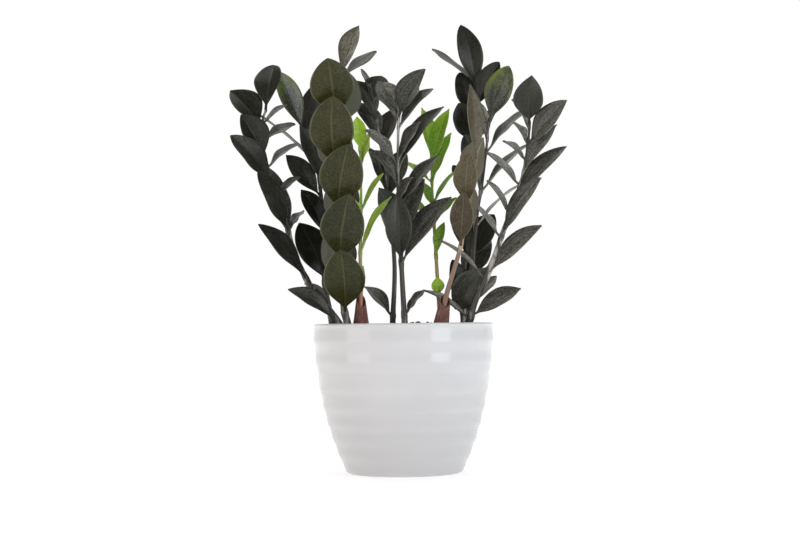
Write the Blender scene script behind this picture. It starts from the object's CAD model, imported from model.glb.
"""The looks of a dark-leaved ZZ plant in a ribbed white ceramic pot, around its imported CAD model.

Leaflets and stems stand where the CAD model has them: the plan below is the same, in
millimetres, with each stem's path and each leaflet's place on its stem. The pot, the soil and
the sheaths are finer versions of their plain solids, on the same sizes.
"""

import math
import random
from typing import NamedTuple

import bpy
from mathutils import Matrix, Quaternion, Vector, noise


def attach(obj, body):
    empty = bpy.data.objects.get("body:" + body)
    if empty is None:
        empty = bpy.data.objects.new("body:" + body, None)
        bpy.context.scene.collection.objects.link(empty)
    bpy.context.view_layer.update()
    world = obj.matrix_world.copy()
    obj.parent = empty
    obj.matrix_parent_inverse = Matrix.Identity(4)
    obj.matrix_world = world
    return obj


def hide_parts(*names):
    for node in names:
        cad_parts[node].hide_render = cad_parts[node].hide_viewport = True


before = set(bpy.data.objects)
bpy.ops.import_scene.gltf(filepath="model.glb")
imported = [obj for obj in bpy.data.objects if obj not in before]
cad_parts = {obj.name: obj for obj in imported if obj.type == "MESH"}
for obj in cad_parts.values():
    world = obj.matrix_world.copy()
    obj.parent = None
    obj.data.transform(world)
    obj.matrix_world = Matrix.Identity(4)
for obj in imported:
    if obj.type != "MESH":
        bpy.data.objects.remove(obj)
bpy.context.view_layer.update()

MM = 0.001
FRONT = Vector((0, -1, 0))

# The pot, as the CAD model has it
POT_HEIGHT = 124.0
POT_RIM_RADIUS = 75.0
POT_FOOT_RADIUS = 48.3
POT_TAPER = 2.15
POT_WALL = 4.5
POT_FLOOR = 6.0
POT_CORNER = 4.0
POT_INNER_FOOT = 12  # the inside's wall ends above this height and slopes in to the floor
POT_INNER_TURN = 6  # how far it slopes in
OUTER_LIP = 1.6  # radii of the rim's two roundings
INNER_LIP = 1.4
POT_SIDES = 160
RIB_EDGES = (14, 27, 40, 54, 70, 88, 107)  # where one rib ends and the next starts
RIB_DEPTH = 0.75
RIB_PEAK = 0.12  # shares of a rib's height where it stands out most and least
RIB_VALLEY = 0.72
RIB_STEPS = 14

SOIL_TOP = 118.0
SOIL_GAP = 0.4  # between the soil and the wall of the pot
SOIL_TOP_GAP = 0.2
SOIL_LIFT = 0.3  # of the soil above the pot's floor
SOIL_SIDES = 120
SOIL_RINGS = 44
CRUMBS = 420
CRUMBS_OUT = 66  # how far from the middle they lie
CRUMB_SIZES = (0.5, 0.7, 0.9, 1.1, 1.6)

STEM_SIDES = 16
STEM_TIP_RADIUS = 0.9
STEM_STEP = 3.0  # between rings of a stem
FOOT_DEPTH = 12.0  # how far a stem goes on under the soil

SHEATH_FOOT = 108.5
SHEATH_SIDES = 48
SHEATH_ROWS = 18
SHEATH_THICK = 0.45

# Leaflets
LEAF_ROWS = 30
LEAF_COLUMNS = 12
LEAF_ARCH = 0.05  # about how high a leaflet arches, as a share of its length
STALK_SHARE = 0.07  # the part of a leaflet's length that is its short stalk
STALK_RADIUS = 1.1
LEAF_THICK = 0.9
LEAF_EDGE_THICK = 0.35
OLD_LEAF_BLOOM = 0.12  # the share of its bloom that an old hanging leaflet keeps
SILVER = (0.42, 0.41, 0.36)


class Stem(NamedTuple):
    """A stem's radius where it leaves the soil, and its path as (right, back, up)."""

    radius: float
    path: tuple


class Leaf(NamedTuple):
    """A leaflet, placed on its stem.

    at is the height where it leaves the stem, and reach goes from there to its tip, as (right,
    back, up). turn is how far its upper face turns up from facing the front, in degrees.
    """

    at: float
    reach: tuple
    wide: float
    turn: float


STEMS = {
    "far_left": Stem(3.0, ((-54, 5, 124), (-68, 6, 143), (-80, 7, 160), (-92, 8, 187), (-99, 9, 215),
                           (-110, 10, 244), (-116, 11, 269), (-117, 12, 294), (-114, 12, 305))),
    "back_left": Stem(2.8, ((-60, 18, 124), (-66, 22, 157), (-67, 29, 195), (-69, 36, 231),
                            (-74, 42, 262), (-86, 47, 292))),
    "front_left": Stem(3.0, ((-46, -20, 124), (-49, -21, 139), (-52, -25, 180), (-53, -30, 221),
                             (-53, -35, 258), (-52, -41, 298), (-48, -46, 329))),
    "centre": Stem(2.5, ((1, -8, 124), (-1, -10, 168), (-3, -12, 226), (-3, -13, 266), (-2, -14, 303))),
    "centre_left": Stem(2.3, ((-9, 8, 124), (-7, 10, 175), (-12, 15, 228), (-17, 21, 271),
                              (-26, 28, 326))),
    "front_right": Stem(2.5, ((31, -22, 124), (35, -24, 145), (43, -28, 171), (48, -31, 189),
                              (53, -36, 220), (59, -40, 248), (61, -42, 264))),
    "back_right": Stem(2.8, ((51, 18, 124), (50, 21, 152), (53, 25, 177), (56, 31, 212), (60, 37, 248),
                             (62, 43, 283), (66, 50, 331))),
    "mid_right": Stem(2.6, ((54, 4, 124), (58, 8, 168), (63, 14, 215), (67, 17, 236), (72, 21, 271),
                            (75, 24, 298))),
    "far_right": Stem(3.0, ((54, -10, 124), (60, -11, 143), (69, -12, 161), (78, -13, 184),
                            (90, -14, 217), (98, -15, 238), (102, -15, 254), (105, -16, 274),
                            (106, -16, 289))),
}
SHOOT_STEMS = {
    "left_shoot": Stem(2.0, ((-35, -12, 124), (-35, -12, 149), (-35, -12, 182), (-34, -12, 220),
                             (-34, -11, 258), (-35, -10, 271))),
    "right_shoot": Stem(2.0, ((31, 8, 124), (29, 9, 160), (28, 11, 181), (26, 14, 224), (25, 17, 263))),
}

RHIZOMES = ("left", "middle", "right")

# Dry sheaths round the foot of two stems: the height of the top, and the radii at foot and top
SHEATHS = {"left_shoot": (149, 9.2, 3.2), "front_right": (147, 8.6, 3.9)}

# The leaflets that are CAD nodes, numbered up the stem
LEAFLETS = {
    "far_left": (
        Leaf(128, (-38, -15, 25), 18, 44),
        Leaf(162, (-37, -17, 46), 23, 50),
        Leaf(202, (-23, -21, 49), 25, 50),
        Leaf(242, (-32, -22, 39), 23, 38),
        Leaf(263, (-19, -9, 37), 25, 30),
        Leaf(291, (-27, 5, 32), 28, 35),
        Leaf(305, (5, 22, 42), 24, 18),
    ),
    "back_left": (
        Leaf(160, (-21, 0, 50), 30, 20),
        Leaf(201, (-18, -8, 37), 20, 35),
        Leaf(247, (-15, -10, 46), 23, 45),
        Leaf(291, (-20, -4, 51), 23, 35),
    ),
    "front_left": (
        Leaf(133, (-2, -28, 50), 34, 0),
        Leaf(174, (9, -29, 54), 36, 0),
        Leaf(215, (10, -29, 52), 36, 0),
        Leaf(250, (-2, -28, 56), 36, 0),
        Leaf(291, (-6, -24, 45), 36, 0),
        Leaf(326, (14, -14, 37), 20, 40),
    ),
    "centre": (
        Leaf(174, (41, -8, 54), 23, 40),
        Leaf(174, (-3, -16, 57), 22, 0),
        Leaf(184, (-17, 10, 53), 26, 155),
        Leaf(221, (32, -4, 42), 20, 54),
        Leaf(252, (37, -2, 52), 20, 50),
        Leaf(294, (22, -15, 38), 20, 28),
    ),
    "front_right": (
        Leaf(187, (2, -20, 42), 20, 20),
        Leaf(218, (1, -18, 42), 20, 20),
        Leaf(256, (-4, -8, 60), 18, 42),
    ),
    "back_right": (
        Leaf(176, (25, -6, 39), 26, 25),
        Leaf(277, (-12, -8, 35), 26, 15),
        Leaf(309, (20, -13, 38), 22, 35),
        Leaf(323, (-12, 4, 60), 22, 15),
    ),
    "mid_right": (
        Leaf(294, (17, -6, 47), 24, 20),
    ),
    "far_right": (
        Leaf(130, (41, -6, 22), 20, 45),
        Leaf(166, (42, -18, 37), 23, 52),
        Leaf(196, (30, -26, 45), 20, 50),
        Leaf(220, (43, -14, 48), 20, 50),
        Leaf(248, (27, -8, 38), 16, 40),
        Leaf(268, (30, -22, 36), 22, 40),
        Leaf(288, (1, -17, 37), 25, 12),
    ),
    "left_shoot": (
        Leaf(268, (-2, -4, 27), 13, 10),
    ),
    "right_shoot": (
        Leaf(256, (14, -13, 47), 16, 35),
        Leaf(261, (-7, 14, 47), 15, 35),
    ),
}

# The leaflets that CAD joins to their stem
JOINED_LEAFLETS = {
    "far_left": (
        Leaf(195, (-25, 14, 66), 22, 40),
        Leaf(133, (-21, 4, 26), 20, 120),
        Leaf(203, (13, 5, 17), 20, 66),
        Leaf(232, (19, 5, 17), 20, 66),
        Leaf(256, (27, 5, 21), 22, 68),
        Leaf(280, (27, 5, 14), 20, 60),
        Leaf(294, (20, 4, 16), 18, 72),
    ),
    "back_left": (
        Leaf(233, (-29, -4, 36), 23, 40),
        Leaf(266, (-46, 6, 39), 19, 86),
        Leaf(157, (15, 18, 45), 27, 60),
        Leaf(200, (16, 18, 51), 27, 60),
        Leaf(240, (15, 18, 52), 25, 60),
        Leaf(280, (11, 14, 57), 25, 40),
    ),
    "front_left": (
        Leaf(324, (29, 8, 22), 18, 56),
        Leaf(155, (-8, 26, 51), 30, 180),
        Leaf(199, (5, 26, 53), 30, 180),
        Leaf(242, (-7, 26, 52), 30, 180),
        Leaf(283, (9, 24, 49), 28, 180),
    ),
    "centre": (
        Leaf(131, (17, -2, 21), 12, 60),
        Leaf(193, (20, 4, 51), 24, 35),
        Leaf(224, (11, -10, 20), 16, 60),
        Leaf(239, (-22, -4, 28), 20, 55),
        Leaf(259, (18, -10, 31), 18, 60),
        Leaf(255, (-26, -6, 29), 20, 60),
        Leaf(286, (28, 0, 33), 20, 58),
        Leaf(292, (-16, -8, 18), 14, 70),
        Leaf(297, (17, 7, 26), 16, 30),
        Leaf(298, (-17, 5, 27), 21, 25),
    ),
    "centre_left": (
        Leaf(130, (-23, 6, 26), 20, 60),
        Leaf(231, (-15, 6, 42), 22, 50),
        Leaf(277, (-21, 2, 35), 24, 45),
        Leaf(297, (-16, 0, 34), 24, 50),
        Leaf(315, (-9, 6, 27), 18, 70),
        Leaf(314, (7, 6, 22), 22, 20),
        Leaf(228, (14, 14, 45), 24, 30),
        Leaf(267, (12, 12, 41), 24, 40),
    ),
    "front_right": (
        Leaf(196, (10, 20, 40), 22, 150),
        Leaf(233, (11, 24, 43), 24, 150),
    ),
    "back_right": (
        Leaf(133, (-8, -6, 44), 20, 30),
        Leaf(182, (-11, -4, 37), 18, 40),
        Leaf(156, (22, 10, 43), 26, 30),
        Leaf(225, (-13, 2, 34), 18, 45),
        Leaf(256, (-6, -8, 28), 22, 30),
        Leaf(297, (-11, 4, 44), 24, 30),
        Leaf(273, (20, 12, 36), 22, 50),
        Leaf(331, (-38, 8, 32), 16, 64),
    ),
    "mid_right": (
        Leaf(140, (23, 4, 23), 20, 60),
        Leaf(206, (39, 4, 36), 16, 84),
        Leaf(235, (40, 4, 41), 18, 70),
        Leaf(268, (38, 2, 38), 20, 68),
        Leaf(235, (-9, 8, 37), 20, 60),
        Leaf(279, (-12, 8, 37), 20, 50),
    ),
    "far_right": (
        Leaf(128, (-38, 6, 25), 14, 70),
        Leaf(160, (-38, 8, 35), 16, 76),
        Leaf(194, (-21, 8, 29), 18, 70),
        Leaf(214, (-18, 6, 28), 18, 70),
        Leaf(237, (-26, 6, 29), 18, 66),
        Leaf(258, (-18, 5, 17), 16, 68),
        Leaf(271, (-11, 4, 19), 14, 62),
        Leaf(284, (-13, 4, 25), 16, 66),
        Leaf(172, (-31, 13, -37), 26, 10),
    ),
    "left_shoot": (
        Leaf(153, (2, -10, 18), 8, 20),
        Leaf(205, (-7, -4, 23), 10, 40),
        Leaf(183, (25, -4, 46), 10, 55),
        Leaf(218, (18, -6, 30), 10, 60),
        Leaf(255, (7, 4, 27), 12, 50),
    ),
    "right_shoot": (
        Leaf(147, (-1, -9, 15), 11, 0),
        Leaf(180, (7, -5, 28), 10, 30),
        Leaf(208, (-20, -6, 21), 10, 50),
        Leaf(208, (19, -4, 21), 10, 50),
        Leaf(221, (-12, -6, 23), 10, 40),
        Leaf(225, (20, 6, 28), 8, 60),
        Leaf(243, (16, -4, 41), 14, 45),
        Leaf(243, (-22, 6, 18), 10, 50),
    ),
}


class Habit(NamedTuple):
    """How the leaflets of a frond grow.

    pointed is about 0.5 for a round tip and 0.9 for a sharp one. fold is how far the halves of the
    blade rise from the midrib, as a share of the half width. bloom and small_bloom are how much
    silvery bloom the large and the small leaflets carry, from 0 to 1.
    """

    pointed: float
    fold: float
    bloom: float
    small_bloom: float


HABITS = {
    "far_left": Habit(0.86, 0.40, 0.04, 0.34),
    "back_left": Habit(0.78, 0.28, 0.00, 0.17),
    "front_left": Habit(0.80, 0.12, 0.02, 0.12),
    "centre": Habit(0.92, 0.45, 0.44, 0.66),
    "centre_left": Habit(0.88, 0.42, 0.26, 0.34),
    "front_right": Habit(0.88, 0.30, 0.01, 0.00),
    "back_right": Habit(0.74, 0.24, 0.02, 0.10),
    "mid_right": Habit(0.80, 0.30, 0.36, 1.00),
    "far_right": Habit(0.88, 0.50, 0.62, 1.00),
    "left_shoot": Habit(0.90, 0.30, 0.0, 0.30),
    "right_shoot": Habit(0.90, 0.30, 0.0, 0.10),
}

# Large leaflets that carry more or less bloom than the rest of their frond
OTHER_BLOOM = {
    ("far_left", 1): 0.22,
    ("far_left", 7): 0.00,
    ("back_left", 3): 0.18,
    ("back_left", 4): 0.34,
    ("front_left", 6): 0.45,
    ("centre", 2): 0.04,
    ("centre", 3): 0.02,
    ("front_right", 3): 0.12,
    ("far_right", 7): 0.05,
}


def make_piece(name, points, faces, finishes, floats=None):
    """A smooth-shaded piece from points in millimetres, with named numbers for its material."""
    mesh = bpy.data.meshes.new(name)
    mesh.from_pydata([Vector(point) * MM for point in points], [], faces)
    for finish in finishes:
        mesh.materials.append(finish)
    for attribute, values in (floats or {}).items():
        mesh.attributes.new(attribute, "FLOAT", "POINT").data.foreach_set("value", values)
    mesh.shade_smooth()
    obj = bpy.data.objects.new(name, mesh)
    bpy.context.scene.collection.objects.link(obj)
    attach(obj, "root")
    return obj


def smooth_path(path, steps):
    """Points along a Catmull-Rom curve through the path, with this many to each stretch."""
    points = [Vector(point) for point in path]
    ends = [2 * points[0] - points[1], *points, 2 * points[-1] - points[-2]]
    curve = []
    for before, start, stop, after in zip(ends, ends[1:], ends[2:], ends[3:]):
        for step in range(steps):
            t = step / steps
            curve.append(0.5 * (2 * start + (stop - before) * t
                                + (2 * before - 5 * start + 4 * stop - after) * t ** 2
                                + (3 * start - before - 3 * stop + after) * t ** 3))
    curve.append(points[-1])
    return curve


def stem_radius(stem, height):
    """The stem thins evenly from where it leaves the soil to its tip."""
    low = stem.path[0][2]
    share = min(1.0, max(0.0, (height - low) / (stem.path[-1][2] - low)))
    return stem.radius + (STEM_TIP_RADIUS - stem.radius) * share


def point_on(stem, height):
    """The middle of the stem at a height, and the direction in which it grows there."""
    curve = smooth_path(stem.path, 4)
    for low, high in zip(curve, curve[1:]):
        if low.z <= height <= high.z:
            share = (height - low.z) / (high.z - low.z)
            return low.lerp(high, share), (high - low).normalized()
    return curve[-1], (curve[-1] - curve[-2]).normalized()


def blade_half_width(share, pointed):
    """Half width of a blade at a share of its length, as a share of the widest."""
    if share <= 0 or share >= 1:
        return 0.0
    if share < 0.5:
        return math.sin(math.pi * share) ** 1.1
    return (1 - (2 * share - 1) ** 2.2) ** pointed


def leaf_shape(length, wide, habit, flat, rng):
    """A leaflet along +Y with its upper face at +Z: points, faces, and across, along and under.

    It has a short round stalk, a blade folded a little along a sunken midrib, edges that
    waver, and a raised midrib under it.
    """
    half = wide / 2
    arch = LEAF_ARCH * length * rng.uniform(0.4, 1.6)
    sway = rng.uniform(-0.035, 0.035) * length
    recurve = rng.uniform(0.0, 0.035) * length
    waver = rng.uniform(0.25, 0.7)
    beats = rng.uniform(1.2, 2.4)
    phase = rng.uniform(0, math.tau)
    fold = habit.fold * flat * rng.uniform(0.6, 1.4)
    pointed = habit.pointed * rng.uniform(0.85, 1.15)
    points, across, along, under = [], [], [], []
    ring = 2 * (LEAF_COLUMNS + 1)
    for row in range(LEAF_ROWS):
        share = 0.5 - 0.5 * math.cos(math.pi * (row / LEAF_ROWS) ** 0.9)
        blade = (share - STALK_SHARE) / (1 - STALK_SHARE)
        width = half * blade_half_width(blade, pointed)
        stalk = max(0.0, 1 - share / (2.2 * STALK_SHARE))
        reach = max(width, STALK_RADIUS * (0.75 + 0.5 * stalk))
        middle = arch * math.sin(math.pi * share) - recurve * share ** 4
        aside = sway * math.sin(math.pi * share)
        columns = [-1 + 2 * column / LEAF_COLUMNS for column in range(LEAF_COLUMNS + 1)]
        spread = 1 - stalk
        for face in (0, 1):
            for u in columns if face == 0 else reversed(columns):
                round_stalk = stalk * STALK_RADIUS * math.sqrt(max(0.0, 1 - u * u))
                # The halves rise from the midrib, the edges waver, and the midrib is sunken
                rise = spread * fold * reach * (abs(u) ** 1.4)
                rise += spread * waver * u * u * math.sin(math.tau * beats * share + phase + u)
                rise -= spread * 0.3 * math.exp(-(u / 0.09) ** 2)
                if face == 0:
                    lift = round_stalk
                else:
                    thick = LEAF_EDGE_THICK + (LEAF_THICK - LEAF_EDGE_THICK) * (1 - abs(u)) ** 0.6
                    ridge = 0.55 * (1 - 0.7 * share) * math.exp(-(u / 0.1) ** 2)
                    lift = -spread * (thick + ridge) - round_stalk
                points.append((aside + u * reach, share * length, middle + rise + lift))
                across.append(u)
                along.append(share)
                under.append(face)
    faces = [tuple(range(ring))]
    for row in range(LEAF_ROWS - 1):
        low = row * ring
        high = low + ring
        for side in range(ring):
            after = (side + 1) % ring
            faces.append((low + after, low + side, high + side, high + after))
    last = (LEAF_ROWS - 1) * ring
    points.append((0, length, -recurve))
    across.append(0.0)
    along.append(1.0)
    under.append(0.5)
    for side in range(ring):
        faces.append((last + (side + 1) % ring, last + side, len(points) - 1))
    return points, faces, across, along, under


def leaf_frame(start, tip, turn):
    """Where a leaflet lies: +Y from start to tip, and its upper face turned up by turn."""
    along = (tip - start).normalized()
    facing = (FRONT - FRONT.dot(along) * along).normalized()
    up = along.cross(facing)
    if up.z < 0:
        up = -up
    face = facing * math.cos(math.radians(turn)) + up * math.sin(math.radians(turn))
    across = along.cross(face)
    frame_ = Matrix((across, along, face)).transposed().to_4x4()
    frame_.translation = start
    return frame_


def placed_leaf(stem, leaf, habit, rng):
    """A leaflet's shape in the plant's frame, with its stalk starting in the side of the stem."""
    middle, growing = point_on(stem, leaf.at)
    reach = Vector(leaf.reach)
    side = reach.normalized() + FRONT * math.cos(math.radians(leaf.turn))
    outward = (side - side.dot(growing) * growing).normalized()
    start = middle + outward * 0.6 * stem_radius(stem, leaf.at)
    tip = middle + reach
    flat = max(0.25, abs(math.cos(math.radians(leaf.turn))))
    shape = leaf_shape((tip - start).length, leaf.wide, habit, flat, rng)
    points, faces, across, along, under = shape
    place = leaf_frame(start, tip, leaf.turn)
    return [place @ Vector(point) for point in points], faces, across, along, under


def make_leaves(name, stem, leaves, finish, habit, bloom, node=None):
    """One piece of one or more leaflets of a stem."""
    rng = random.Random(name)
    points, faces = [], []
    floats = {"across": [], "along": [], "under": [], "tone": [], "bloom": []}
    for leaf in leaves:
        more, shape, across, along, under = placed_leaf(stem, leaf, habit, rng)
        faces += [tuple(len(points) + corner for corner in face) for face in shape]
        points += more
        tone = rng.random()
        waxy = bloom * rng.uniform(0.75, 1.25)
        if leaf.reach[2] < 0:
            waxy *= OLD_LEAF_BLOOM
        for key, values in zip(floats, (across, along, under, [tone] * len(more), [waxy] * len(more))):
            floats[key] += values
    piece = make_piece(name, points, faces, [finish], floats)
    if node:
        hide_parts(node)
    return piece


def make_stem(name, stem, finish):
    """A round stem that swells a little where each leaflet leaves it."""
    heights = [leaf.at for leaf in LEAFLETS.get(name, ()) + JOINED_LEAFLETS.get(name, ())]
    length = stem.path[-1][2] - stem.path[0][2]
    curve = smooth_path(stem.path, max(2, round(length / STEM_STEP / (len(stem.path) - 1))))
    down = (curve[0] - curve[1]).normalized() * FOOT_DEPTH
    centres = [curve[0] + down * share for share in (1.0, 0.66, 0.33)] + curve
    points = []
    floats = {"along": []}
    for index, centre in enumerate(centres):
        growing = centres[min(index + 1, len(centres) - 1)] - centres[max(index - 1, 0)]
        side = growing.cross(Vector((0, 1, 0))).normalized()
        over = growing.cross(side).normalized()
        swell = sum(0.45 * math.exp(-((centre.z - height) / 2.5) ** 2) for height in heights)
        radius = stem_radius(stem, centre.z) * 0.95 + min(0.6, swell)
        radius *= 1 + 0.14 * math.exp(-max(0.0, centre.z - stem.path[0][2]) / 9)
        for step in range(STEM_SIDES):
            angle = math.tau * step / STEM_SIDES
            ridge = 1 + 0.04 * math.sin(3 * angle + centre.z / 30)
            points.append(centre + radius * ridge * (math.cos(angle) * side + math.sin(angle) * over))
            floats["along"].append(max(0.0, centre.z - stem.path[0][2]) / length)
    faces = [tuple(range(STEM_SIDES))[::-1]]
    for ring in range(len(centres) - 1):
        low = ring * STEM_SIDES
        high = low + STEM_SIDES
        for step in range(STEM_SIDES):
            after = (step + 1) % STEM_SIDES
            faces.append((low + step, low + after, high + after, high + step))
    last = (len(centres) - 1) * STEM_SIDES
    faces.append(tuple(range(last, last + STEM_SIDES)))
    piece = make_piece(f"stem_{name}_fine", points, faces, [finish], floats)
    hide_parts(f"stem_{name}")


def turned(profile, sides):
    """Points and faces of an outline of (radius, height) turned about Z, closed on the axis."""
    rings = profile[1:-1]
    points = [(0, 0, profile[0][1])]
    for radius, height in rings:
        for side in range(sides):
            angle = math.tau * side / sides
            points.append((radius * math.cos(angle), radius * math.sin(angle), height))
    points.append((0, 0, profile[-1][1]))
    last = len(points) - 1
    final = 1 + (len(rings) - 1) * sides
    faces = []
    for side in range(sides):
        after = (side + 1) % sides
        faces.append((0, 1 + after, 1 + side))
        for ring in range(len(rings) - 1):
            low = 1 + ring * sides
            high = low + sides
            faces.append((low + side, low + after, high + after, high + side))
        faces.append((final + side, final + after, last))
    return points, faces


def wall_radius(height):
    """Radius of the pot's wall without its ribs."""
    return POT_RIM_RADIUS - (POT_RIM_RADIUS - POT_FOOT_RADIUS) * (1 - height / POT_HEIGHT) ** POT_TAPER


def arc(radius, height, size, start, stop, steps):
    """Points of a rounded corner about (radius, height), with angles in degrees from outward."""
    return [(radius + size * math.cos(math.radians(start + (stop - start) * step / steps)),
             height + size * math.sin(math.radians(start + (stop - start) * step / steps)))
            for step in range(steps + 1)]


def rib_sink(share):
    """How deep the wall lies at a share of a rib's height: 0 where it stands out, 1 in the valley."""
    rise = (share - RIB_PEAK) % 1.0
    fall = RIB_VALLEY - RIB_PEAK
    if rise < fall:
        return 0.5 - 0.5 * math.cos(math.pi * rise / fall)
    return 0.5 + 0.5 * math.cos(math.pi * (rise - fall) / (1 - fall))


def make_pot(finish):
    """The glazed shell, with its ribs, its rounded rim and its closed floor."""
    edges = (0, *RIB_EDGES, POT_HEIGHT)
    wall = []
    for low, high in zip(edges, edges[1:]):
        for step in range(RIB_STEPS):
            share = step / RIB_STEPS
            height = low + (high - low) * share
            if POT_CORNER + 1 < height < POT_HEIGHT - 2.2:
                wall.append((wall_radius(height) - RIB_DEPTH * rib_sink(share), height))
    foot = wall_radius(POT_CORNER) - RIB_DEPTH
    corner = arc(foot - POT_CORNER, POT_CORNER, POT_CORNER, -90, -5, 8)
    outer_lip = arc(POT_RIM_RADIUS - 1.8, POT_HEIGHT - OUTER_LIP, OUTER_LIP, 0, 90, 6)
    inner_lip = arc(POT_RIM_RADIUS - POT_WALL + INNER_LIP, POT_HEIGHT - INNER_LIP, INNER_LIP, 90, 180, 6)
    inside = [(wall_radius(height) - POT_WALL, height) for height in range(120, POT_INNER_FOOT, -6)]
    floor_radius = wall_radius(POT_INNER_FOOT) - POT_WALL - POT_INNER_TURN
    profile = [(0, 0), *corner, *wall, *outer_lip, *inner_lip, *inside,
               (floor_radius, POT_FLOOR), (0, POT_FLOOR)]
    points, faces = turned(profile, POT_SIDES)
    piece = make_piece("pot_glazed", points, faces, [finish])
    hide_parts("pot")


def soil_height(x, y):
    """Loose ground: low mounds and crumbs, a little higher in front and right of the middle."""
    place = Vector((x, y, 0))
    mounds = 2.2 * noise.noise(place / 24)
    lumps = 1.3 * noise.noise(place / 6 + Vector((7, 3, 1)))
    crumbs = 0.7 * noise.noise(place / 2.2)
    heap = 3.0 * math.exp(-((x - 14) ** 2 + (y + 22) ** 2) / 260)
    dome = 3.0 * (1 - (x * x + y * y) / (70 * 70))
    return SOIL_TOP + mounds + lumps + crumbs + heap + dome


def make_soil(finish):
    """The soil, just inside the pot, with its uneven top."""
    edge = wall_radius(SOIL_TOP) - POT_WALL - SOIL_TOP_GAP
    foot = wall_radius(POT_INNER_FOOT) - POT_WALL - POT_INNER_TURN - SOIL_GAP
    side = [(wall_radius(height) - POT_WALL - SOIL_GAP, height)
            for height in (POT_INNER_FOOT, 40, 70, 100)]
    profile = [(0, POT_FLOOR + SOIL_LIFT), (foot, POT_FLOOR + SOIL_LIFT), *side]
    profile += [(edge * (SOIL_RINGS - ring) / SOIL_RINGS, SOIL_TOP) for ring in range(SOIL_RINGS)]
    profile += [(0, SOIL_TOP)]
    points, faces = turned(profile, SOIL_SIDES)
    uneven = [(x, y, soil_height(x, y) if z == SOIL_TOP else z) for x, y, z in points]
    piece = make_piece("soil_ground", uneven, faces, [finish])
    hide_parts("soil")


def lump(centre, size, rng):
    """A rough pebble-like crumb: points and faces."""
    profile = [(math.sin(math.pi * row / 5), -math.cos(math.pi * row / 5)) for row in range(6)]
    points, faces = turned([(0, -1), *profile[1:-1], (0, 1)], 8)
    seed = Vector((rng.uniform(0, 99), rng.uniform(0, 99), rng.uniform(0, 99)))
    stretch = [size * rng.uniform(0.6, 1.3) for _ in range(3)]
    spin = Quaternion((rng.uniform(-1, 1), rng.uniform(-1, 1), 1), rng.uniform(0, math.tau))
    shaped = []
    for point in points:
        rough = 1 + 0.45 * noise.noise(Vector(point) * 1.3 + seed)
        away = spin @ Vector([a * b * rough for a, b in zip(point, stretch)])
        shaped.append(Vector(centre) + away)
    return shaped, faces


def make_crumbs(finish):
    """Loose crumbs on the soil. A few show above the rim."""
    rng = random.Random("crumbs")
    points, faces = [], []
    tones = []
    for _ in range(CRUMBS):
        out = CRUMBS_OUT * math.sqrt(rng.random())
        angle = rng.uniform(0, math.tau)
        x, y = out * math.cos(angle), out * math.sin(angle)
        size = rng.choice(CRUMB_SIZES)
        more, shape = lump((x, y, soil_height(x, y) + 0.3 * size), size, rng)
        faces += [tuple(len(points) + corner for corner in face) for face in shape]
        points += more
        tones += [rng.random()] * len(more)
    piece = make_piece("soil_crumbs", points, faces, [finish], {"tone": tones})


def make_sheath(name, stem, finish):
    """A dry husk round the foot of a stem, ridged, with one side of its top higher."""
    top, foot_radius, top_radius = SHEATHS[name]
    points = []
    floats = {"along": [], "around": []}
    for wall in (0, 1):
        for row in range(SHEATH_ROWS + 1):
            share = row / SHEATH_ROWS
            for side in range(SHEATH_SIDES):
                angle = math.tau * side / SHEATH_SIDES
                peak = 0.72 + 0.28 * abs(math.cos((angle - 1.9) / 2)) ** 1.5
                height = SHEATH_FOOT + (top - SHEATH_FOOT) * share * peak
                level = (height - SHEATH_FOOT) / (top - SHEATH_FOOT)
                if height <= stem.path[0][2]:
                    start = Vector(stem.path[0])
                    along = (Vector(stem.path[1]) - start).normalized()
                    centre = start - along * ((start.z - height) / along.z)
                else:
                    centre = point_on(stem, height)[0]
                radius = foot_radius + (top_radius - foot_radius) * level ** 0.8
                radius *= 1 + 0.035 * math.sin(11 * angle + 2 * level) + 0.02 * math.sin(23 * angle)
                radius -= SHEATH_THICK * wall
                x = centre.x + radius * math.cos(angle)
                y = centre.y + radius * math.sin(angle)
                points.append((x, y, height))
                floats["along"].append(level)
                floats["around"].append(angle / math.tau)
    wall_size = (SHEATH_ROWS + 1) * SHEATH_SIDES
    faces = []
    for side in range(SHEATH_SIDES):
        after = (side + 1) % SHEATH_SIDES
        for row in range(SHEATH_ROWS):
            low = row * SHEATH_SIDES
            high = low + SHEATH_SIDES
            faces.append((low + side, low + after, high + after, high + side))
            low += wall_size
            high += wall_size
            faces.append((low + after, low + side, high + side, high + after))
        faces.append((side, wall_size + side, wall_size + after, after))
        last = SHEATH_ROWS * SHEATH_SIDES
        faces.append((last + side, last + after, wall_size + last + after, wall_size + last + side))
    piece = make_piece(f"sheath_{name}_husk", points, faces, [finish], floats)
    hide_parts(f"sheath_{name}")


# ---------------------------------------------------------------- materials

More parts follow.
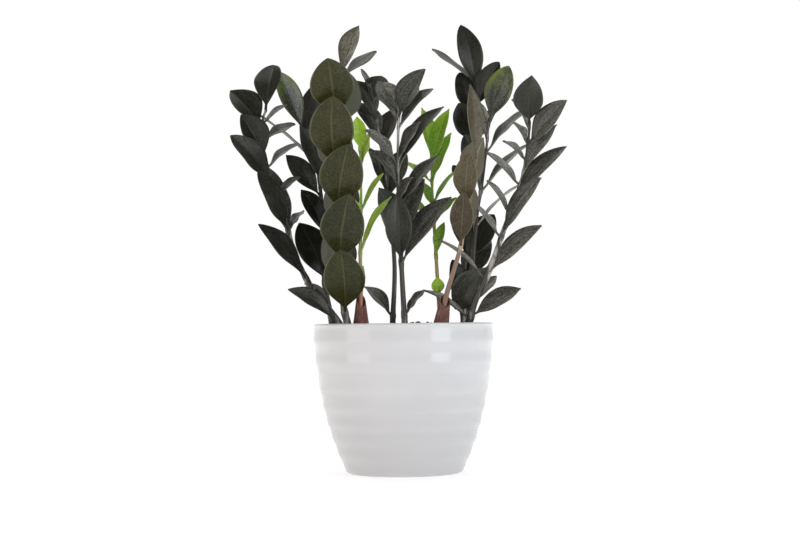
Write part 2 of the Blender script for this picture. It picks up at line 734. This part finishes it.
class Nodes:
    """Short calls for building a material's nodes."""

    def __init__(self, name):
        self.material = bpy.data.materials.new(name)
        self.material.use_nodes = True
        self.tree = self.material.node_tree
        self.shader = self.tree.nodes["Principled BSDF"]

    def add(self, kind, **settings):
        """A new node with these settings."""
        node = self.tree.nodes.new(kind)
        for key, value in settings.items():
            setattr(node, key, value)
        return node

    def put(self, value, socket):
        """A link from a socket, or a plain value."""
        if isinstance(value, bpy.types.NodeSocket):
            self.tree.links.new(value, socket)
        else:
            socket.default_value = value

    def number(self, name):
        """A number that the mesh carries under this name."""
        return self.add("ShaderNodeAttribute", attribute_name=name).outputs["Fac"]

    def math(self, operation, *values, clamp=False):
        node = self.add("ShaderNodeMath", operation=operation, use_clamp=clamp)
        for value, socket in zip(values, node.inputs):
            self.put(value, socket)
        return node.outputs[0]

    def band(self, value, low, high, to_low=0.0, to_high=1.0):
        """A smooth step of value from low to high."""
        node = self.add("ShaderNodeMapRange", interpolation_type="SMOOTHSTEP")
        for item, socket in zip((value, low, high, to_low, to_high), node.inputs):
            self.put(item, socket)
        return node.outputs[0]

    def mix(self, share, first, second):
        """A colour: the first where share is 0, and the second where it is 1."""
        node = self.add("ShaderNodeMix", data_type="RGBA")
        self.put(share, node.inputs[0])
        for value, socket in ((first, node.inputs[6]), (second, node.inputs[7])):
            self.put((*value, 1.0) if isinstance(value, tuple) else value, socket)
        return node.outputs[2]

    def noise(self, scale, detail=3.0, rough=0.5, where=None, stretch=None):
        """Noise in the object's own space, unless where gives other coordinates."""
        node = self.add("ShaderNodeTexNoise")
        node.inputs["Scale"].default_value = scale
        node.inputs["Detail"].default_value = detail
        node.inputs["Roughness"].default_value = rough
        place = where or self.add("ShaderNodeTexCoord").outputs["Object"]
        if stretch:
            mapping = self.add("ShaderNodeMapping")
            mapping.inputs["Scale"].default_value = stretch
            self.put(place, mapping.inputs["Vector"])
            place = mapping.outputs[0]
        self.put(place, node.inputs["Vector"])
        return node.outputs["Fac"]

    def place(self, x, y):
        node = self.add("ShaderNodeCombineXYZ")
        for value, socket in zip((x, y), node.inputs):
            self.put(value, socket)
        return node.outputs[0]

    def bump(self, height, strength, distance):
        node = self.add("ShaderNodeBump")
        node.inputs["Strength"].default_value = strength
        node.inputs["Distance"].default_value = distance
        self.put(height, node.inputs["Height"])
        self.put(node.outputs[0], self.shader.inputs["Normal"])

    def finish(self, colour, roughness, **plain):
        """Sets the shader and gives its material. plain values go on its own sockets."""
        self.put(colour, self.shader.inputs["Base Color"])
        self.put(roughness, self.shader.inputs["Roughness"])
        for key, value in plain.items():
            self.shader.inputs[key.replace("_", " ")].default_value = value
        return self.material


def leaf_material(name, upper, worn, lower, rib, rim, gloss=0.3, tip=None):
    """A waxy leaflet: grained and mottled, with a paler midrib, faint side veins, a thin light
    rim, a duller underside and a streaky silver bloom. A lower gloss is shinier, since it sets
    the roughness. tip is the colour that a leaflet still has towards its tip and its edges."""
    n = Nodes(name)
    side = n.number("across")
    across = n.math("ABSOLUTE", side)
    along = n.number("along")
    under = n.number("under")
    tone = n.number("tone")
    mottle = n.noise(110, 4, 0.6)
    grain = n.noise(620, 3, 0.7)
    cloud = n.noise(22, 2, 0.5)
    colour = n.mix(n.band(n.math("ADD", cloud, n.math("MULTIPLY", tone, 0.35)), 0.35, 0.95), upper, worn)
    deep = tuple(0.4 * share for share in upper)
    colour = n.mix(n.math("MULTIPLY", n.band(mottle, 0.45, 0.7), 0.12), colour, rib)
    colour = n.mix(n.math("MULTIPLY", n.band(grain, 0.45, 0.68), 0.22), colour, rib)
    colour = n.mix(n.math("MULTIPLY", n.band(grain, 0.50, 0.32), 0.55), colour, deep)
    if tip:
        young = n.math("ADD", n.band(along, 0.45, 0.95), n.math("MULTIPLY", n.band(across, 0.55, 1.0), 0.6))
        young = n.math("MULTIPLY", young, n.band(n.noise(60, 3, 0.6), 0.3, 0.6), clamp=True)
        colour = n.mix(young, colour, tip)
    spot = n.place(n.math("ADD", n.math("MULTIPLY", side, 4.2), n.math("MULTIPLY", tone, 40.0)),
                   n.math("MULTIPLY", along, 0.8))
    streaks = n.noise(3.2, 4, 0.65, where=spot)
    streaks = n.math("ADD", n.math("MULTIPLY", streaks, 0.6), n.math("MULTIPLY", grain, 0.4))
    silver = n.math("MULTIPLY", n.band(side, -0.7, 0.8, 0.35, 1.15), n.number("bloom"))
    silver = n.math("MULTIPLY", n.band(streaks, 0.40, 0.62, 0.08, 1.0), silver, clamp=True)
    colour = n.mix(silver, colour, SILVER)
    slant = n.math("SUBTRACT", n.math("MULTIPLY", along, 15.0), n.math("MULTIPLY", across, 2.6))
    vein = n.math("POWER", n.math("ABSOLUTE", n.math("SINE", n.math("MULTIPLY", slant, math.pi))), 14.0)
    inner = n.band(across, 0.98, 0.7)
    vein = n.math("MULTIPLY", vein, inner)
    colour = n.mix(n.math("MULTIPLY", vein, 0.07), colour, rib)
    colour = n.mix(n.math("MULTIPLY", n.band(across, 0.065, 0.015), 0.5), colour, rib)
    colour = n.mix(n.math("MULTIPLY", n.band(across, 0.90, 1.0), 0.55), colour, rim)
    below = n.mix(n.math("MULTIPLY", n.band(across, 0.12, 0.03), 0.6), lower, rim)
    below = n.mix(silver, below, SILVER)
    colour = n.mix(n.band(under, 0.4, 0.6), colour, below)
    roughness = n.math("ADD", n.math("MULTIPLY", under, 0.14), n.math("MULTIPLY", mottle, 0.12))
    roughness = n.math("ADD", roughness, gloss - 0.06)
    height = n.math("ADD", n.math("MULTIPLY", vein, -0.3), n.math("MULTIPLY", n.noise(700, 2), 0.5))
    n.bump(height, 0.25, 0.0003)
    return n.finish(colour, roughness, IOR=1.33)


def stem_material(name, low, high, streak, gloss=0.42):
    """A smooth stem that changes colour on its way up, with fine light streaks and spots."""
    n = Nodes(name)
    along = n.number("along")
    colour = n.mix(n.band(along, 0.02, 0.75), low, high)
    streaks = n.noise(160, 3, 0.6, stretch=(1.0, 1.0, 0.09))
    colour = n.mix(n.math("MULTIPLY", n.band(streaks, 0.50, 0.66), 0.85), colour, streak)
    spots = n.noise(420, 2, 0.5, stretch=(1.0, 1.0, 0.45))
    colour = n.mix(n.math("MULTIPLY", n.band(spots, 0.6, 0.7), 0.5), colour, low)
    n.bump(streaks, 0.3, 0.0004)
    return n.finish(colour, n.math("ADD", n.math("MULTIPLY", streaks, 0.2), gloss - 0.1), IOR=1.45)


def sheath_material():
    """Dry papery husk: red-brown with long pale and dark fibres."""
    n = Nodes("dry_husk")
    along = n.number("along")
    around = n.number("around")
    lengthways = n.place(n.math("MULTIPLY", around, 9.0), n.math("MULTIPLY", along, 0.5))
    fibres = n.noise(9, 4, 0.65, where=lengthways)
    colour = n.mix(n.band(fibres, 0.35, 0.7), (0.10, 0.032, 0.025), (0.30, 0.135, 0.10))
    blotch = n.noise(140, 3, 0.6)
    colour = n.mix(n.math("MULTIPLY", n.band(blotch, 0.5, 0.8), 0.6), colour, (0.36, 0.22, 0.16))
    colour = n.mix(n.math("MULTIPLY", n.band(along, 0.7, 1.0), 0.5), colour, (0.3, 0.2, 0.1))
    n.bump(fibres, 0.6, 0.0006)
    return n.finish(colour, n.math("ADD", n.math("MULTIPLY", fibres, 0.25), 0.45), IOR=1.45)


def glaze_material():
    """White stoneware under a glossy glaze, greyer towards the foot, with fine specks."""
    n = Nodes("white_glaze_fine")
    pool = n.noise(16, 3, 0.5)
    height = n.add("ShaderNodeSeparateXYZ")
    n.put(n.add("ShaderNodeTexCoord").outputs["Object"], height.inputs[0])
    colour = n.mix(n.band(pool, 0.3, 0.75), (0.625, 0.622, 0.627), (0.59, 0.589, 0.595))
    low = n.band(height.outputs["Z"], 0.105, 0.0)
    colour = n.mix(low, colour, (0.535, 0.53, 0.533))
    speck = n.noise(900, 1, 0.5)
    colour = n.mix(n.math("MULTIPLY", n.band(speck, 0.74, 0.8), 0.25), colour, (0.42, 0.40, 0.38))
    n.bump(n.noise(38, 2, 0.45), 0.12, 0.0008)
    return n.finish(colour, n.math("ADD", n.math("MULTIPLY", pool, 0.06), 0.10), IOR=1.44)


def soil_material():
    """Moist dark potting soil with brown fibres and pale grit."""
    n = Nodes("potting_soil_fine")
    grain = n.noise(420, 5, 0.7)
    clump = n.noise(90, 3, 0.6)
    colour = n.mix(n.band(clump, 0.35, 0.7), (0.012, 0.009, 0.007), (0.05, 0.032, 0.022))
    colour = n.mix(n.math("MULTIPLY", n.band(grain, 0.6, 0.8), 0.8), colour, (0.13, 0.09, 0.06))
    n.bump(grain, 1.0, 0.0012)
    return n.finish(colour, n.math("ADD", n.math("MULTIPLY", grain, 0.2), 0.75))


def rhizome_material():
    """Tan tuber skin with dark rings and spots."""
    n = Nodes("rhizome_skin_fine")
    skin = n.noise(70, 4, 0.6, stretch=(1.0, 1.0, 3.0))
    colour = n.mix(n.band(skin, 0.35, 0.7), (0.30, 0.21, 0.12), (0.48, 0.36, 0.22))
    spots = n.noise(300, 2, 0.5)
    colour = n.mix(n.math("MULTIPLY", n.band(spots, 0.6, 0.7), 0.6), colour, (0.12, 0.08, 0.05))
    n.bump(skin, 0.6, 0.001)
    return n.finish(colour, n.math("ADD", n.math("MULTIPLY", skin, 0.2), 0.55))


# ---------------------------------------------------------------- the plant

def make_plant():
    """Every stem with its leaflets, and the two sheaths."""
    raven = leaf_material(
        "raven_leaf", upper=(0.005, 0.006, 0.004), worn=(0.020, 0.021, 0.013),
        lower=(0.06, 0.063, 0.050), rib=(0.05, 0.053, 0.040), rim=(0.13, 0.135, 0.11))
    olive = leaf_material(
        "olive_leaf", upper=(0.012, 0.0145, 0.002), worn=(0.026, 0.025, 0.004),
        lower=(0.07, 0.074, 0.050), rib=(0.090, 0.090, 0.036), rim=(0.15, 0.15, 0.09))
    brown = leaf_material(
        "turning_leaf", upper=(0.040, 0.031, 0.014), worn=(0.080, 0.065, 0.030),
        lower=(0.12, 0.105, 0.07), rib=(0.15, 0.13, 0.085), rim=(0.24, 0.22, 0.15), gloss=0.38)
    green = leaf_material(
        "greening_leaf", upper=(0.006, 0.008, 0.005), worn=(0.016, 0.020, 0.010),
        lower=(0.05, 0.055, 0.04), rib=(0.10, 0.11, 0.08), rim=(0.20, 0.22, 0.12), gloss=0.16,
        tip=(0.11, 0.15, 0.015))
    young = leaf_material(
        "young_leaf_fine", upper=(0.12, 0.30, 0.006), worn=(0.36, 0.56, 0.03),
        lower=(0.38, 0.56, 0.14), rib=(0.5, 0.68, 0.2), rim=(0.6, 0.75, 0.35), gloss=0.36)
    stem = stem_material("raven_stem", (0.05, 0.042, 0.032), (0.058, 0.055, 0.046), (0.50, 0.48, 0.44))
    olive_stem = stem_material("turning_stem", (0.24, 0.14, 0.10), (0.17, 0.14, 0.075), (0.42, 0.31, 0.22))
    young_stem = stem_material("young_stem_fine", (0.40, 0.17, 0.13), (0.28, 0.45, 0.06), (0.5, 0.33, 0.26))
    husk = sheath_material()
    leaf_of = {"front_left": olive, "front_right": brown, "left_shoot": young, "right_shoot": young}
    stem_of = {"front_right": olive_stem, "left_shoot": young_stem, "right_shoot": young_stem}
    greening = {("back_left", 4), ("mid_right", 1)}
    for name, path in {**STEMS, **SHOOT_STEMS}.items():
        finish = leaf_of.get(name, raven)
        habit = HABITS[name]
        make_stem(name, path, stem_of.get(name, stem))
        for number, leaf in enumerate(LEAFLETS.get(name, ()), 1):
            one = green if (name, number) in greening else finish
            bloom = OTHER_BLOOM.get((name, number), habit.bloom)
            make_leaves(f"leaflet_{name}_{number}", path, [leaf], one, habit, bloom, f"leaf_{name}_{number}")
        if name in JOINED_LEAFLETS:
            leaves = JOINED_LEAFLETS[name]
            small = make_leaves(f"leaflets_{name}", path, leaves, finish, habit, habit.small_bloom)
        if name in SHEATHS:
            make_sheath(name, path, husk)


def make_holder():
    """The pot and the soil in it, and the skin of the rhizomes, which stay as CAD has them."""
    soil = soil_material()
    make_pot(glaze_material())
    make_soil(soil)
    make_crumbs(soil)
    skin = rhizome_material()
    for name in RHIZOMES:
        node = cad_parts[f"rhizome_{name}"]
        node.data.materials.clear()
        node.data.materials.append(skin)


# ---------------------------------------------------------------- the stage

CAMERA_AWAY = 1.4  # metres
CAMERA_LENS = 75.6  # millimetres
CAMERA_ROLL = 0.6  # degrees
AIM = Vector((-0.0023, 0.0, 0.1711))
LIGHT_AIM = Vector((0, 0, 0.15))

# How bright the studio is, by direction from the plant
BACKDROP = 1.02
BEHIND = 1.0
WALLS = 0.75
FRONT_WALL = 1.0
ROOM = 0.06

FLOOR_HALF = 6
FLOOR_GLOW = 0.54
FLOOR_GLOW_FAR = 1.02
FLOOR_GLOW_FROM = 0.3  # where the floor starts to get brighter, and where it stops
FLOOR_GLOW_TO = 1.1


def make_camera():
    """A long lens level with the pot's rim, a little tilted up and rolled, as in the photograph."""
    data = bpy.data.cameras.new("camera")
    data.lens = CAMERA_LENS
    camera = bpy.data.objects.new("camera", data)
    camera.location = (AIM.x, -CAMERA_AWAY, POT_HEIGHT * MM)
    look = AIM - camera.location
    roll = Quaternion(look.normalized(), math.radians(CAMERA_ROLL))
    camera.rotation_mode = "QUATERNION"
    camera.rotation_quaternion = roll @ look.to_track_quat("-Z", "Y")
    bpy.context.scene.collection.objects.link(camera)
    bpy.context.scene.camera = camera


def make_light(name, azimuth, height, away, wide, tall, power, colour):
    """A softbox that faces the plant. Azimuth is in degrees from the front towards the right."""
    data = bpy.data.lights.new(name, "AREA")
    data.shape = "RECTANGLE"
    data.size = wide
    data.size_y = tall
    data.energy = power
    data.color = colour
    light = bpy.data.objects.new(name, data)
    angle = math.radians(azimuth)
    light.location = (away * math.sin(angle), -away * math.cos(angle), height)
    aim = LIGHT_AIM - light.location
    light.rotation_mode = "QUATERNION"
    light.rotation_quaternion = aim.to_track_quat("-Z", "Y")
    bpy.context.scene.collection.objects.link(light)


def make_world():
    """A white backdrop behind the plant, low walls to its sides, a brighter one in front, a bright
    room high up behind it, and a dim one everywhere else."""
    world = bpy.data.worlds.new("studio")
    bpy.context.scene.world = world
    world.use_nodes = True
    tree = world.node_tree
    direction = tree.nodes.new("ShaderNodeTexCoord").outputs["Generated"]
    split = tree.nodes.new("ShaderNodeSeparateXYZ")
    tree.links.new(direction, split.inputs[0])

    def level(axis, start, stop, low, high):
        node = tree.nodes.new("ShaderNodeMapRange")
        node.interpolation_type = "SMOOTHSTEP"
        for value, socket in zip((start, stop, low, high), node.inputs[1:5]):
            socket.default_value = value
        tree.links.new(split.outputs[axis], node.inputs["Value"])
        return node.outputs[0]

    def join(operation, first, second):
        node = tree.nodes.new("ShaderNodeMath")
        node.operation = operation
        tree.links.new(first, node.inputs[0])
        tree.links.new(second, node.inputs[1])
        return node.outputs[0]

    low_down = level("Z", 0.20, 0.28, 1.0, 0.0)
    behind = level("Y", 0.86, 0.93, WALLS, BACKDROP)
    in_front = level("Y", -0.2, -0.7, WALLS, FRONT_WALL)
    wall = join("MULTIPLY", low_down, join("MAXIMUM", behind, in_front))
    brighter = join("MAXIMUM", wall, level("Y", 0.4, 0.8, ROOM, BEHIND))
    background = tree.nodes["Background"]
    background.inputs["Color"].default_value = (1, 1, 1, 1)
    tree.links.new(brighter, background.inputs["Strength"])


def make_stage():
    """Three softboxes, the studio, and a pale floor that glows more away from the pot."""
    make_light("softbox_right", azimuth=47, height=0.50, away=1.3, wide=0.62, tall=1.2,
               power=8.4, colour=(0.90, 0.94, 1.0))
    make_light("softbox_left", azimuth=-59, height=0.50, away=1.3, wide=0.80, tall=1.2,
               power=6.4, colour=(1.0, 0.90, 0.87))
    make_light("softbox_top", azimuth=180, height=1.6, away=0.3, wide=1.7, tall=1.3,
               power=11.0, colour=(1.0, 1.0, 1.0))
    make_world()
    mesh = bpy.data.meshes.new("floor")
    corners = [(x * FLOOR_HALF, y * FLOOR_HALF, 0) for x, y in ((-1, -1), (1, -1), (1, 1), (-1, 1))]
    mesh.from_pydata(corners, [], [(0, 1, 2, 3)])
    floor = bpy.data.objects.new("floor", mesh)
    bpy.context.scene.collection.objects.link(floor)
    n = Nodes("pale_floor")
    distance = n.add("ShaderNodeVectorMath", operation="LENGTH")
    n.put(n.add("ShaderNodeTexCoord").outputs["Object"], distance.inputs[0])
    far = n.band(distance.outputs["Value"], FLOOR_GLOW_FROM, FLOOR_GLOW_TO)
    far = n.math("MULTIPLY", far, FLOOR_GLOW_FAR - FLOOR_GLOW)
    n.shader.inputs["Emission Color"].default_value = (1, 1, 1, 1)
    n.put(n.math("ADD", far, FLOOR_GLOW), n.shader.inputs["Emission Strength"])
    n.shader.inputs["Specular IOR Level"].default_value = 0.0
    mesh.materials.append(n.finish((0.75, 0.75, 0.75, 1.0), 0.8))


bpy.context.scene.view_settings.view_transform = "Standard"
make_camera()
make_stage()
make_holder()
make_plant()
